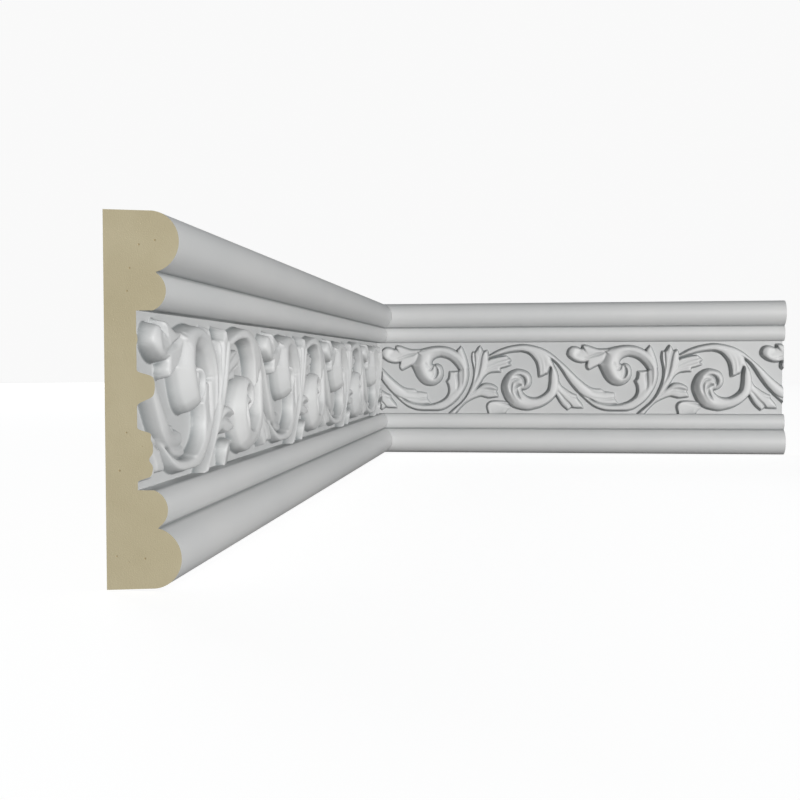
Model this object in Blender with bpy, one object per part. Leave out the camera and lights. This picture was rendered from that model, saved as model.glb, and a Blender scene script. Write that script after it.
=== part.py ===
# Chair rail moulding with a carved acanthus scroll, run round the inside corner of a room.
# Two straight lengths, one on each wall, meet at a mitre. Both are cut square at their far ends.
# A length is drawn lying along +X with its flat back on Y = 0, its face towards -Y and its foot
# at Z = 0, in millimetres, and is then set on its wall.

import math

import bmesh
import bpy
from mathutils import Matrix, Vector

MM = 0.001

# Driving dimensions of the run, in millimetres
RAIL_HEIGHT = 200.0
BACK_WALL_RUN = 545.2
SIDE_WALL_RUN = 927.2

# The mitre at the inside corner: the gap across it, and where each cutting block lies, as a turn
# from along the rail
MITRE_GAP = 0.3
BACK_MITRE_TURN = math.radians(225)
SIDE_MITRE_TURN = math.radians(-45)

# The moulded section: a large round and a small one above and below a sunk frieze
FRIEZE_DEPTH = 17.5
FRIEZE_EDGE = 53.0
LARGE_ROUND_RADIUS = 16.1
LARGE_ROUND_CENTRE = (24.8, 17.3)
LARGE_ROUND_FACETS = 10
SMALL_ROUND_RADIUS = 10.8
SMALL_ROUND_CENTRE = (22.9, 42.8)
SMALL_ROUND_FACETS = 7
ROUND_NOTCH = (28.4, 33.2)

# The carving repeats every REPEAT, and both lengths read from left to right
REPEAT = 246.5
SIDE_WALL_PHASE = 23.5
BACK_WALL_PHASE = 0.0
STROKE_SINK = 2.0
WALL_SHARE = 0.45
FACET_LENGTH = 13.0

# A length is first made this much too long at each end, and then cut
OVERRUN = 5.0

# The seams of the plain section are joined over this distance, and only edges that turn by more
# than this angle stay sharp
SEAM_JOIN = 0.01
SHARP_ANGLE = math.radians(40)

PRIMER_COLOUR = (0.56, 0.59, 0.60, 1.0)
PRIMER_ROUGHNESS = 0.55

# Strokes of the carving. Each knot is the place of the stroke's middle along the rail and up
# it, then half the stroke's width and its rise above the frieze. The eye of the upper scroll
# is about 341 along, and the eye of the lower scroll is about 457 along.
SCROLLS_AND_STEMS = {
    "arching_stem": (
        (413, 126.5, 1.6, 4), (436, 135.8, 4.5, 8), (461, 139.6, 5.6, 9.5), (480, 133, 7.4, 9.5),
        (507, 115.5, 3.6, 8.5), (525, 97, 6.2, 9.5), (548, 77.8, 8.2, 9), (567, 72.2, 7.8, 7.5),
        (585, 66.2, 1.2, 3)),
    "hanging_leaf": (
        (469, 134, 6, 9.5), (480.5, 122, 8.4, 11), (485, 104, 6.6, 11)),
    "upper_scroll": (
        (297, 71.5, 1.4, 5), (318, 61.4, 3.2, 7), (345, 60.6, 5.2, 8.7), (371, 74.5, 8.8, 9.5),
        (384.5, 103, 9.4, 9.2), (372.5, 129, 7.2, 9), (346, 137.4, 6.8, 9.5),
        (325, 124, 10, 12.3), (325.5, 103.5, 10.2, 13), (341, 95.8, 6.4, 11),
        (350, 106, 3.7, 9.2), (343, 113, 2.2, 7)),
    "lower_scroll": (
        (503, 119, 4, 8), (499, 100, 6.2, 9), (489, 75.5, 7.4, 9.7), (466, 66, 9.8, 11.3),
        (444.5, 74, 10.2, 12.8), (439, 92.5, 8, 12.5), (452, 106.6, 5.2, 10.7),
        (465.5, 98.6, 4, 9.5), (462, 88.6, 2.6, 8)),
    "curled_leaf": (
        (271.4, 130.6, 3.6, 7), (276.5, 130.6, 8.2, 11), (290, 129.6, 10, 10.5),
        (322, 136, 2.2, 7)),
}
LEAVES = {
    "scroll_tip": (
        (382, 125, 3.4, 8), (379.5, 135, 3, 7), (377.6, 142, 0.9, 4)),
    "inner_leaf": (
        (351, 64.5, 2, 5), (369, 79, 6.2, 9.5), (367, 94, 8.6, 9.5), (366.4, 106.5, 5.6, 9)),
    "curled_leaf_top": (
        (291.6, 142, 1.6, 6), (303, 138.4, 2.8, 8), (321, 137, 1.4, 7)),
    "curled_leaf_foot": (
        (298, 112.4, 2.4, 5), (307, 119.6, 5.6, 7.8), (322, 133, 2.6, 7)),
    "lower_eye": (
        (461.5, 92.6, 2.4, 8), (452, 95.6, 3.6, 9.3), (450.5, 84, 3.8, 9.5), (465, 71, 2, 8)),
    "foot_curl": (
        (418, 53.6, 4.4, 6.5), (418, 62.4, 6.6, 8), (441, 64.4, 4.4, 7.5)),
    "stalk": (
        (364, 55.4, 2.2, 5), (379, 66, 4.8, 8), (394, 84, 6, 9.6), (404, 107, 5, 9.5)),
    "upright_leaf": (
        (394.4, 92, 3, 9), (399.4, 112, 5.4, 11), (401.6, 130, 5.6, 11.4), (404, 142, 1.2, 8)),
    "upright_leaf_left": (
        (397, 116, 3, 9), (394.8, 133.4, 2.6, 7)),
    "upright_leaf_right": (
        (402.4, 103, 3, 9), (408.6, 121, 4.6, 10.6), (412, 136.4, 1, 7)),
    "side_leaf_top": (
        (404, 106, 3.6, 8), (416, 118, 6.6, 8.3), (441, 126, 2, 5)),
    "side_leaf_foot": (
        (405, 103, 3.4, 8), (420, 110.8, 4.6, 7.5), (441, 114.8, 1.6, 4)),
    "low_leaf_top": (
        (394, 80, 3, 8), (408, 87.8, 4.2, 8), (428, 84.4, 2, 5)),
    "low_leaf_foot": (
        (391, 75.6, 3, 7.5), (410, 78.8, 5, 7.3), (428, 75.4, 1.8, 4.5)),
    "leaflet_left": (
        (503, 86, 2.2, 6), (509, 72.5, 4.2, 7.5), (517.5, 60, 2.6, 6)),
    "leaflet_middle": (
        (506, 90, 2.4, 6), (519, 71.5, 7, 8.3), (536.5, 60.8, 1.8, 5)),
    "leaflet_right": (
        (509, 95, 2, 5), (520, 80, 4, 6.8), (534, 70, 1.6, 4)),
}

# Across a stroke, from edge to edge: the side, and the share of the dome that stands there
ROUNDED = ((-1.0, 0.0), (-0.5, 0.85), (0.5, 0.85), (1.0, 0.0))
RIDGED = ((-1.0, 0.0), (0.0, 1.0), (1.0, 0.0))


def clear_scene():
    for thing in list(bpy.data.objects):
        bpy.data.objects.remove(thing, do_unlink=True)


def new_collection(name):
    collection = bpy.data.collections.new(name)
    bpy.context.scene.collection.children.link(collection)
    return collection


def new_object(name, mesh, collection, matrix):
    """An object for the mesh, in the collection, set on its wall."""
    thing = bpy.data.objects.new(name, mesh)
    collection.objects.link(thing)
    thing.matrix_world = matrix
    return thing


def primer_coat():
    """The pale primer that the lengths are sold in."""
    material = bpy.data.materials.new("primer_coat")
    material.use_nodes = True
    shader = material.node_tree.nodes["Principled BSDF"]
    shader.inputs["Base Color"].default_value = PRIMER_COLOUR
    shader.inputs["Roughness"].default_value = PRIMER_ROUGHNESS
    shader.inputs["Metallic"].default_value = 0.0
    return material


def bearing(centre, point):
    return math.atan2(point[1] - centre[1], point[0] - centre[0])


def arc(centre, radius, start, end, facets):
    """Points along an arc from one bearing to another, both ends included."""
    turns = [start + (end - start) * facet / facets for facet in range(facets + 1)]
    return [(centre[0] + radius * math.cos(a), centre[1] + radius * math.sin(a)) for a in turns]


def rail_section():
    """The outline, as distance from the wall and height: the lower half and its mirror image."""
    foot = (0.0, 0.0)
    large = arc(LARGE_ROUND_CENTRE, LARGE_ROUND_RADIUS, -math.pi / 2,
                bearing(LARGE_ROUND_CENTRE, ROUND_NOTCH), LARGE_ROUND_FACETS)
    ledge_rise = FRIEZE_EDGE - SMALL_ROUND_CENTRE[1]
    small = arc(SMALL_ROUND_CENTRE, SMALL_ROUND_RADIUS, bearing(SMALL_ROUND_CENTRE, ROUND_NOTCH),
                math.asin(ledge_rise / SMALL_ROUND_RADIUS), SMALL_ROUND_FACETS)
    lower = [foot] + large + small[1:] + [(FRIEZE_DEPTH, FRIEZE_EDGE)]
    upper = [(depth, RAIL_HEIGHT - height) for depth, height in reversed(lower)]
    return lower + upper


def plain_length(name, run):
    """The section carried along the rail, as a filled flat outline given a thickness."""
    outline = bpy.data.curves.new(name, "CURVE")
    outline.dimensions = "2D"
    outline.fill_mode = "BOTH"
    outline.extrude = (run / 2 + OVERRUN) * MM
    section = rail_section()
    spline = outline.splines.new("POLY")
    spline.points.add(len(section) - 1)
    for point, (depth, height) in zip(spline.points, section):
        point.co = (-depth * MM, height * MM, 0.0, 1.0)
    spline.use_cyclic_u = True
    guide = bpy.data.objects.new(name + "_outline", outline)
    bpy.context.scene.collection.objects.link(guide)
    bpy.context.view_layer.update()
    mesh = bpy.data.meshes.new_from_object(guide.evaluated_get(bpy.context.evaluated_depsgraph_get()))
    bpy.data.objects.remove(guide, do_unlink=True)
    shape = bmesh.new()
    shape.from_mesh(mesh)
    bmesh.ops.remove_doubles(shape, verts=shape.verts, dist=SEAM_JOIN * MM)
    along_rail = Matrix(((0, 0, 1, run / 2 * MM), (1, 0, 0, 0), (0, 1, 0, 0), (0, 0, 0, 1)))
    bmesh.ops.transform(shape, matrix=along_rail, verts=shape.verts)
    bmesh.ops.recalc_face_normals(shape, faces=shape.faces)
    shape.to_mesh(mesh)
    shape.free()
    return mesh


def smooth(knots):
    """A Catmull-Rom curve through the knots, sampled about once every FACET_LENGTH."""
    ends = [knots[0]] + list(knots) + [knots[-1]]
    samples = []
    for before, here, after, beyond in zip(ends, ends[1:], ends[2:], ends[3:]):
        steps = max(1, round(math.dist(here[:2], after[:2]) / FACET_LENGTH))
        for step in range(steps):
            t = step / steps
            samples.append([0.5 * (2 * b + (c - a) * t + (2 * a - 5 * b + 4 * c - d) * t * t
                                   + (3 * b - a - 3 * c + d) * t * t * t)
                            for a, b, c, d in zip(before, here, after, beyond)])
    return samples + [list(knots[-1])]


def stroke_mesh(name, knots, across_stroke, shift):
    """One stroke as a loft: a domed section on low walls, carried along the stroke's middle."""
    samples = smooth(knots)
    shape = bmesh.new()
    rings = []
    for index, (along, height, half_width, rise) in enumerate(samples):
        back = samples[max(index - 1, 0)]
        ahead = samples[min(index + 1, len(samples) - 1)]
        way = Vector((ahead[0] - back[0], ahead[1] - back[1])).normalized()
        across = Vector((-way.y, way.x))
        ring = []
        for side, crown in across_stroke:
            proud = rise * (WALL_SHARE + (1 - WALL_SHARE) * crown)
            ring.append((side, FRIEZE_DEPTH + proud))
        ring.append((1.0, FRIEZE_DEPTH - STROKE_SINK))
        ring.append((-1.0, FRIEZE_DEPTH - STROKE_SINK))
        rings.append([shape.verts.new(((along + shift + across.x * side * half_width) * MM,
                                       -depth * MM,
                                       (height + across.y * side * half_width) * MM))
                      for side, depth in ring])
    for ring, following in zip(rings, rings[1:]):
        for index in range(len(ring)):
            other = (index + 1) % len(ring)
            shape.faces.new((ring[index], ring[other], following[other], following[index]))
    shape.faces.new(rings[0])
    shape.faces.new(rings[-1])
    bmesh.ops.recalc_face_normals(shape, faces=shape.faces)
    mesh = bpy.data.meshes.new(name)
    shape.to_mesh(mesh)
    shape.free()
    return mesh


def add_carving(collection, run, phase, matrix):
    """Every stroke of every repeat that reaches this length."""
    strokes = [(name, knots, ROUNDED) for name, knots in SCROLLS_AND_STEMS.items()]
    strokes += [(name, knots, RIDGED) for name, knots in LEAVES.items()]
    drawn_to = max(knot[0] for name, knots, across_stroke in strokes for knot in knots)
    first = -math.ceil(drawn_to / REPEAT)
    last = math.ceil((run + phase) / REPEAT)
    for repeat in range(first, last):
        shift = repeat * REPEAT - phase
        for name, knots, across_stroke in strokes:
            reach = [knot[0] + shift for knot in knots]
            if max(reach) > 0 and min(reach) < run:
                mesh = stroke_mesh(name, knots, across_stroke, shift)
                stroke = new_object(f"{collection.name}_{name}_{repeat}", mesh, collection, matrix)
                hide_cutter(stroke)


def hide_cutter(thing):
    thing.hide_render = True
    thing.display_type = "WIRE"


def add_end_cutter(collection, name, place, turn, matrix):
    """A block whose face stands across the rail at the place, turned about the upright axis."""
    block = 2 * REPEAT
    shape = bmesh.new()
    bmesh.ops.create_cube(shape, size=1.0)
    size = Matrix.Diagonal((block * MM, block * MM, block * MM, 1.0))
    beyond = Matrix.Translation((block / 2 * MM, 0.0, RAIL_HEIGHT / 2 * MM))
    placed = Matrix.Translation((place * MM, 0.0, 0.0)) @ Matrix.Rotation(turn, 4, "Z") @ beyond
    bmesh.ops.transform(shape, matrix=placed @ size, verts=shape.verts)
    mesh = bpy.data.meshes.new(name)
    shape.to_mesh(mesh)
    shape.free()
    hide_cutter(new_object(name, mesh, collection, matrix))


def add_boolean(thing, name, operation, collection):
    cut = thing.modifiers.new(name, "BOOLEAN")
    cut.operation = operation
    cut.operand_type = "COLLECTION"
    cut.collection = collection
    cut.solver = "EXACT"


def rail_length(name, run, phase, square_end, mitre_end, mitre_turn, matrix, parts, material):
    """One length: the plain section, its carving joined on, and both ends cut."""
    rail = new_object(name, plain_length(name, run), parts, matrix)
    rail.data.materials.append(material)
    carving = new_collection(name + "_carving")
    add_carving(carving, run, phase, matrix)
    ends = new_collection(name + "_ends")
    square_turn = 0.0 if square_end > mitre_end else math.pi
    add_end_cutter(ends, name + "_square_end", square_end, square_turn, matrix)
    add_end_cutter(ends, name + "_mitre", mitre_end, mitre_turn, matrix)
    add_boolean(rail, "carving", "UNION", carving)
    add_boolean(rail, "ends", "DIFFERENCE", ends)
    rail.data.shade_smooth()
    rail.data.set_sharp_from_angle(angle=SHARP_ANGLE)
    return rail


def build_run():
    clear_scene()
    parts = new_collection("chair_rail_moulding")
    material = primer_coat()
    half_gap = MITRE_GAP / 2 * math.sqrt(2)
    origin = Vector((BACK_WALL_RUN / 2, 0.0, RAIL_HEIGHT / 2)) * MM
    to_origin = Matrix.Translation(-origin)
    on_side_wall = to_origin @ Matrix.Translation((0.0, -SIDE_WALL_RUN * MM, 0.0)) @ Matrix.Rotation(
        math.pi / 2, 4, "Z")
    rail_length("back_wall_length", BACK_WALL_RUN, BACK_WALL_PHASE, BACK_WALL_RUN, half_gap,
                BACK_MITRE_TURN, to_origin, parts, material)
    rail_length("side_wall_length", SIDE_WALL_RUN, SIDE_WALL_PHASE, 0.0, SIDE_WALL_RUN - half_gap,
                SIDE_MITRE_TURN, on_side_wall, parts, material)


build_run()
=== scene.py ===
import math

import bmesh
import bpy
import numpy as np
from mathutils import Matrix, Vector


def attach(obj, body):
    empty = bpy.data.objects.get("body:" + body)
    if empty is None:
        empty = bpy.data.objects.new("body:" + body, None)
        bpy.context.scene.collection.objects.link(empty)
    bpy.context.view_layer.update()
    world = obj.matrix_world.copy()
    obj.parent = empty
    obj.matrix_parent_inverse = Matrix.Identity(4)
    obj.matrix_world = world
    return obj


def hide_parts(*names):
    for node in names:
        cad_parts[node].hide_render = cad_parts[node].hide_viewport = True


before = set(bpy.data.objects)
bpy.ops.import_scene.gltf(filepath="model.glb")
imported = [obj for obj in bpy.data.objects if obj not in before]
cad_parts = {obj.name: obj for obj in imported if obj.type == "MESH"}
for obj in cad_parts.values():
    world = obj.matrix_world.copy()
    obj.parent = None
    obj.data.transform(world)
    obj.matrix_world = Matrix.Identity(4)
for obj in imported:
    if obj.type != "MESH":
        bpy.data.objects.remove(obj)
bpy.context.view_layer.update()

# A chair rail run round an inside corner. A length is worked out in millimetres along the rail,
# out from the wall and up the wall, and is then set on its wall in the part's own frame.

mm = 0.001
tiny = 1e-6  # keeps divisions off zero

# What a user would change of the moulded section, shared by both lengths. Centres and the notch
# are out from the wall and up from the foot, and the upper half mirrors the lower one.
section = {
    "height": 200.0,
    "friezeDepth": 17.5,
    "friezeEdge": 53.0,
    "largeRadius": 16.1,
    "largeCentre": (24.8, 17.3),
    "smallRadius": 10.8,
    "smallCentre": (22.9, 42.8),
    "notch": (28.4, 33.2),
    "largeSteps": 40,
    "smallSteps": 26,
}

# What a user would change of each length. run is its longest measure, at the wall; phase is where
# in the pattern its x = 0 lies; mitre is the end that is cut at 45 degrees; triangles is what its
# carved face is thinned to.
backLength = {
    "name": "back_wall_rail",
    "node": "back_wall_length",
    "run": 545.2,
    "phase": 0.0,
    "mitre": "start",
    "triangles": 178000,
}
sideLength = {
    "name": "side_wall_rail",
    "node": "side_wall_length",
    "run": 927.2,
    "phase": 23.5,
    "mitre": "end",
    "triangles": 190000,
}
mitreGap = 0.3
sharpAngle = 30.0

# What a user would change of the carving: its repeat, how fine it is worked out, how softly the
# paint rounds its edges, and how high it may stand at the ledges and rise per mm away from them.
carving = {
    "repeat": 246.5,
    "columns": 410,
    "rows": 157,
    "softness": 0.5,
    "ledgeRise": 8.0,
    "ledgeSlope": 2.0,
    "pathSpacing": 0.9,
    "fillet": 0.8,       # where forms meet, unless they name another
    "bareGround": 0.01,  # whatever is lower counts as ground, which has no fillet
    "swellFoot": 4.0,    # a swelling is whole where the form under it is this high
    "undersides": 0.75,  # how near a side that looks down comes to the width of a left one
    "narrowest": 0.3,    # least half width of a stem, swelling or crease
    "widestWall": 0.9,   # of a stem's half width
    "spill": 3.0,        # a form is worked out this far round its knots
    "endGap": 0.3,       # of columnStep, from a cut end to the nearest column
}
columnStep = carving["repeat"] / carving["columns"]
blurSpan = 3  # a blur reaches this many times its softness

# What a user would change of the painted shade in hollows, where the primer is darkened to stand in
# for the shade that falls in recesses, each share 0 to 1: for lying as low as the frieze ground,
# for a wall as steep as steepest, and for lying depth mm below the surroundings, averaged over
# about reach mm. The last two start from the ground over the first foot mm, and all fade out over
# fade mm in front of the carving. The notch and the ledge's corner on the plain section have a
# painted shade with a share and a width in mm of their own.
hollowShade = {
    "low": 0.2,
    "steep": 0.26,
    "steepest": 2.0,
    "below": 0.82,
    "depth": 3.2,
    "reach": 1.8,
    "foot": 0.35,
    "fade": 2.0,
    "notch": (0.8, 2.9),
    "ledge": (0.62, 1.9),
}

# The forms of one repeat by name, in the order they are laid down: kind, knots and options.
# The knots of a band, a swelling and a crease hold along, up, half width and height. A leaf's hold
# along and up, and a knot given twice is a sharp corner.
carvedForms = {
    "sideLeaf": ("leaf", (
        (398, 98), (398, 98), (404, 116), (404, 116), (414, 124.6), (421, 127.2), (430, 129),
        (437.6, 129.6), (437.6, 129.6), (440.6, 127.2), (440.6, 127.2), (445, 123), (445, 123),
        (441, 119.8), (441, 119.8), (445.6, 117.2), (445.6, 117.2), (437, 114), (430, 112.2),
        (430, 112.2), (431, 107.4), (431, 107.4), (424, 107.2), (416.4, 106.4), (410.6, 103),
        (405, 96), (405, 96)),
        {"reach": (6, 5), "rise": 9.4, "share": 0.74, "tilt": (415, 115, 0.01, 0),
         "wall": (1.8, 1.4)}),
    "sideLeafA": ("crease", (
        (407, 112, 1.6, 0.1), (415, 117.6, 2.6, 0.7), (427, 122.8, 2.8, 1.2),
        (441, 126.6, 2.4, 1.8)), {}),
    "sideLeafB": ("crease", (
        (406, 103, 1.6, 0.1), (414, 110.5, 2.4, 0.7), (423, 114, 2.8, 1.1), (432, 116.5, 2.6, 1.4),
        (442, 119.8, 2.2, 1.8)), {}),
    "lowLeaf": ("leaf", (
        (366, 55), (366, 55), (378, 67), (388, 78), (396, 85), (400.5, 88.6), (406, 92.4),
        (412, 93.4), (418, 92.2), (422.6, 90), (426.6, 86.6), (426.6, 86.6), (425, 81.5),
        (425, 81.5), (428, 74.8), (428, 74.8), (420, 73.6), (413.4, 72.8), (413.4, 72.8),
        (408, 74.4), (403, 75.2), (394, 72), (385, 67), (378, 60.6), (372, 53.6), (372, 53.6)),
        {"reach": (7, 5), "rise": 8.6, "share": 0.68, "tilt": (405, 82, 0.06, 0),
         "wall": (2, 1.4)}),
    "lowLeafTip": ("swell", (
        (402, 86, 3, 0.4), (409, 88.8, 3.6, 1), (417, 88.8, 3.2, 1.2), (423, 86.8, 2.4, 1)), {}),
    "lowLeafCrease": ("crease", (
        (401, 81.8, 1.8, 0.2), (409, 84.6, 3, 1.4), (417, 83.8, 3.6, 2.6),
        (425, 82.4, 3, 2.8)), {}),
    "calyx": ("leaf", (
        (358.5, 50.5), (358.5, 50.5), (361.9, 54), (366.5, 58.5), (372.5, 63.5), (378.5, 69),
        (384.5, 77), (388.5, 85), (391.5, 92.6), (393.6, 101), (394, 110), (393, 117), (391.5, 125),
        (391.5, 130), (392.4, 134.8), (392.4, 134.8), (396.5, 135.4), (396.5, 135.4), (399, 139.6),
        (402.8, 143.4), (402.8, 143.4), (405.5, 139), (407.5, 135.5), (407.5, 135.5),
        (412.7, 137.2), (412.7, 137.2), (414.4, 131), (414.2, 123), (411.5, 112), (407.5, 100),
        (401, 89), (392, 77.5), (383, 67), (375, 58), (369, 50.5), (369, 50.5)),
        {"reach": (6, 5), "rise": 11.4, "share": 0.66, "tilt": (400, 120, 0, 0.03),
         "wall": (1.4, 1.2), "fillet": 1}),
    "leftLobe": ("crease", (
        (395, 135, 1.6, 4), (395.6, 126, 1.8, 3), (396.2, 117, 1.6, 1.6),
        (396.4, 108, 1.2, 0.2)), {}),
    "lobeTip": ("crease", (
        (395.9, 136.8, 1.4, 3), (398, 137.6, 1.6, 2), (400.6, 138.4, 1.2, 0.4)), {}),
    "mainLobe": ("crease", (
        (407.6, 138, 2, 4.4), (404.4, 128, 2.8, 3.4), (401.8, 114, 3.2, 3.2), (399, 103, 3, 2.2),
        (395.5, 94, 2, 0.4)), {}),
    "leaflets": ("leaf", (
        (499, 90), (499, 90), (501.6, 78), (504.2, 73), (507.8, 66.8), (511.8, 62), (517.8, 57),
        (517.8, 57), (521.8, 60.2), (521.8, 60.2), (530, 60), (538.8, 59.6), (538.8, 59.6),
        (536.6, 65.5), (531, 72.6), (531, 72.6), (530, 77.2), (530, 77.2), (523, 80.4), (516, 85),
        (509.8, 90), (505, 99), (505, 99)),
        {"reach": (7, 5), "rise": 8.4, "share": 0.6, "wall": (1.6, 1.2)}),
    "leafletA": ("crease", (
        (504.5, 83, 1.4, 0.3), (508, 79, 2.2, 1.2), (514, 71.5, 2.6, 2), (520, 65.6, 2.6, 2.6),
        (523.4, 60.6, 2.2, 3.2)), {}),
    "leafletB": ("crease", (
        (507, 88, 1.4, 0.3), (513, 82.5, 2.2, 1), (521, 77, 2.4, 1.3),
        (530.5, 74.4, 2.2, 2.8)), {}),
    "footCurl": ("leaf", (
        (413.6, 48), (413.6, 48), (412.8, 54), (411.2, 60), (411.4, 64.6), (414.2, 68.2), (420, 70),
        (430, 69.9), (437, 68.8), (447, 65), (447, 65), (446, 61.2), (441, 58), (437.4, 54),
        (436, 48), (436, 48)),
        {"reach": (5, 5), "rise": 8.2, "share": 0.7, "tilt": (414, 64, -0.2, 0.2),
         "wall": (1.6, 1.4)}),
    "footLine": ("crease", (
        (424, 66.4, 1.2, 0.2), (430, 66, 2, 1.2), (438, 64.4, 2.4, 1.8), (445, 61.4, 2, 1.4)), {}),
    "fan": ("leaf", (
        (450, 139), (450, 139), (452, 134.4), (455.7, 134.5), (460.8, 133.6), (466.8, 131.3),
        (470.8, 127.5), (474.8, 122.2), (476.9, 117), (478.3, 110), (479.2, 100.6), (479.2, 100.6),
        (484.4, 101.6), (488.8, 104), (491.8, 104.8), (491.8, 104.8), (494.8, 113), (494.8, 113),
        (497, 104), (499.8, 93), (499.8, 93), (502.2, 104), (501.4, 112), (499.8, 118),
        (497.2, 124), (497.2, 124), (503, 124), (503, 124), (494, 131), (482, 137.4), (470, 141),
        (460, 141.8)),
        {"reach": (7, 7), "rise": 10.8, "share": 0.62, "wall": (2.6, 1.4), "fillet": 1.5}),
    "leafFluteA": ("crease", (
        (479.2, 130, 1.8, 0.1), (482.8, 122, 2.4, 0.3), (484.4, 114, 2.4, 0.45),
        (484.4, 102, 2.4, 0.5)), {}),
    "leafFluteB": ("crease", (
        (483.2, 132, 1.8, 0.1), (487.2, 124, 2.2, 0.2), (488.8, 115, 2.2, 0.35),
        (488.6, 104, 2.2, 0.4)), {}),
    "lowerBand": ("band", (
        (496.6, 118.5, 1.6, 7.5), (498.6, 111, 4.4, 9.6), (499.6, 103, 6.2, 10.2),
        (499.8, 93, 6.8, 10.6), (497.4, 81.5, 7, 11), (491, 74, 7, 11.2), (482, 68.4, 7.2, 10.8),
        (473, 66, 7.6, 9.4), (464, 66, 7, 7), (456, 67.4, 6, 4.5)),
        {"bulge": 0.55, "share": 0.7, "wall": (3.4, 1.5), "fillet": 1.5}),
    "lowerCoil": ("leaf", (
        (457.8, 83.8), (457.8, 83.8), (459.6, 80.4), (463.2, 76.8), (468.8, 74.4), (475, 73.8),
        (480, 74.4), (485.4, 76.8), (490.2, 80.8), (494.4, 86.5), (497.6, 95), (497.6, 95),
        (498.2, 86), (495, 76.5), (488.6, 68.8), (481.6, 62.8), (474, 58.8), (465.7, 57),
        (455.4, 58.2), (445.4, 61.6), (437.2, 69.6), (432.6, 79), (430.7, 86.5), (431.7, 94),
        (434.4, 100.4), (438.6, 105.8), (445, 109.9), (453, 111.6), (463.6, 109), (469.2, 103.6),
        (471, 96), (468.6, 88.8), (463.4, 84.8)),
        {"reach": (11, 3.6), "rise": 11.2, "share": 0.25, "wall": (2, 1.2), "fillet": 1.5}),
    "outerRidge": ("swell", (
        (476.5, 65, 6, 0.3), (460.5, 66.4, 8, 1), (447.9, 74.4, 8, 2.4), (441.3, 88, 7.6, 3),
        (443.7, 98.6, 7, 2.8), (449.9, 105.4, 5.4, 2), (457.5, 106.4, 4.4, 1.8),
        (464.3, 102, 4, 1.8), (465.9, 94.6, 3.6, 1.8), (463.1, 88.6, 3, 1.6),
        (458.9, 86, 2, 1.2)), {}),
    "innerRidge": ("swell", (
        (456.9, 93.4, 3, 2.2), (452.5, 94.8, 3.6, 2.2), (448.3, 92, 3.2, 2), (446.7, 85, 3.2, 2),
        (448.9, 78, 3.4, 1.6), (454.5, 71, 4, 0.5)), {}),
    "eyeTail": ("swell", (
        (455.8, 81.6, 1.8, 1), (460.2, 77, 2.4, 0.9), (466.8, 73, 3, 0.3)), {}),
    "ringGroove": ("crease", (
        (445.7, 101.6, 1.6, 0.5), (451.1, 103, 2.4, 1.9), (456.1, 102.2, 2.8, 4),
        (459.9, 98.8, 2.8, 5), (461.1, 94.4, 2.4, 4.6), (460.7, 90, 1.6, 1.2)), {}),
    "ridgeGroove": ("crease", (
        (454.5, 98.8, 1.4, 0.7), (448.5, 98, 2.2, 1.8), (444.7, 95, 2.6, 2.4),
        (443.5, 89, 2.8, 2.8), (444.1, 82.6, 2.4, 1), (446.5, 77, 1.5, 0)), {}),
    "hook": ("crease", (
        (447.8, 83.4, 1.4, 0.9), (449.2, 87, 1.7, 2), (452.4, 89.4, 1.8, 3.8),
        (456.2, 90.8, 1.6, 2.6)), {}),
    "slash": ("crease", (
        (451.3, 84.6, 1.4, 1.2), (451.8, 80, 1.9, 3.6), (453.7, 75.4, 2, 3.4),
        (456.5, 71.4, 1.6, 0.8)), {}),
    "eyeLine": ("crease", (
        (454.7, 86, 1.1, 0.8), (456.1, 83.6, 1.2, 1.6), (456.5, 81, 1.2, 1.4),
        (458.5, 78.4, 1.1, 0.6)), {}),
    "archingStem": ("band", (
        (409, 125.4, 1.2, 4.5), (416.6, 128.8, 2.4, 6.4), (427, 133.1, 3.9, 8.2),
        (438.6, 136.8, 4.4, 9.2), (450, 138.8, 4.8, 9.8), (461, 139.2, 5.2, 10.2),
        (473, 136.8, 5.6, 10.4), (484, 133.4, 5.4, 10.4), (494.6, 128.4, 4.2, 10.2),
        (503.6, 122, 3.2, 9.8), (512.4, 112.7, 4.4, 9.8), (519.5, 103.7, 5.7, 9.8),
        (527.5, 94.3, 6.8, 9.8), (536.7, 85.3, 7.6, 9.4), (546, 78.8, 7, 8.2), (556, 75, 6, 6.6),
        (566, 73, 5, 4.6)),
        {"bulge": 0.7, "share": 0.66, "wall": (2.6, 1.4), "fillet": 1.2}),
    "stemParting": ("crease", (
        (490.5, 129, 1.2, 0.2), (494.4, 126.6, 1.4, 1.2), (498.4, 122.8, 1.5, 2.6),
        (500.6, 119.6, 1.2, 2)), {}),
    "sheath": ("leaf", (
        (519, 104), (519, 104), (527, 93), (532, 84), (537, 77.6), (541.8, 75), (546.8, 71.6),
        (554.8, 67.2), (561.8, 65.2), (572, 64.2), (584.8, 65.6), (584.8, 65.6), (581.5, 69.2),
        (579.4, 73), (579.4, 73), (579.8, 77.4), (578.8, 80.4), (578.8, 80.4), (573.5, 81.4),
        (566, 82.4), (566, 82.4), (563.2, 84.4), (560.8, 85.8), (560.8, 85.8), (553, 86),
        (547.5, 87.8), (541.4, 91.4), (534.6, 96.6), (526, 102)),
        {"reach": (8, 7), "rise": 7, "share": 0.6, "tilt": (548, 76, -0.085, -0.11),
         "wall": (2.4, 1.2), "fillet": 2}),
    "sheathA": ("crease", (
        (546, 82, 1.6, 0.1), (556, 82.4, 2.2, 0.5), (566, 81.4, 2, 1.2)), {}),
    "sheathB": ("crease", (
        (546, 75, 1.6, 0.1), (556, 72.8, 2.4, 0.7), (568, 72, 2.4, 1.1), (580, 73, 2, 1.6)), {}),
    "innerLeaf": ("leaf", (
        (338.6, 65.8), (338.6, 65.8), (345.4, 67.6), (352.2, 71.2), (357.4, 76), (359.8, 81.4),
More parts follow.
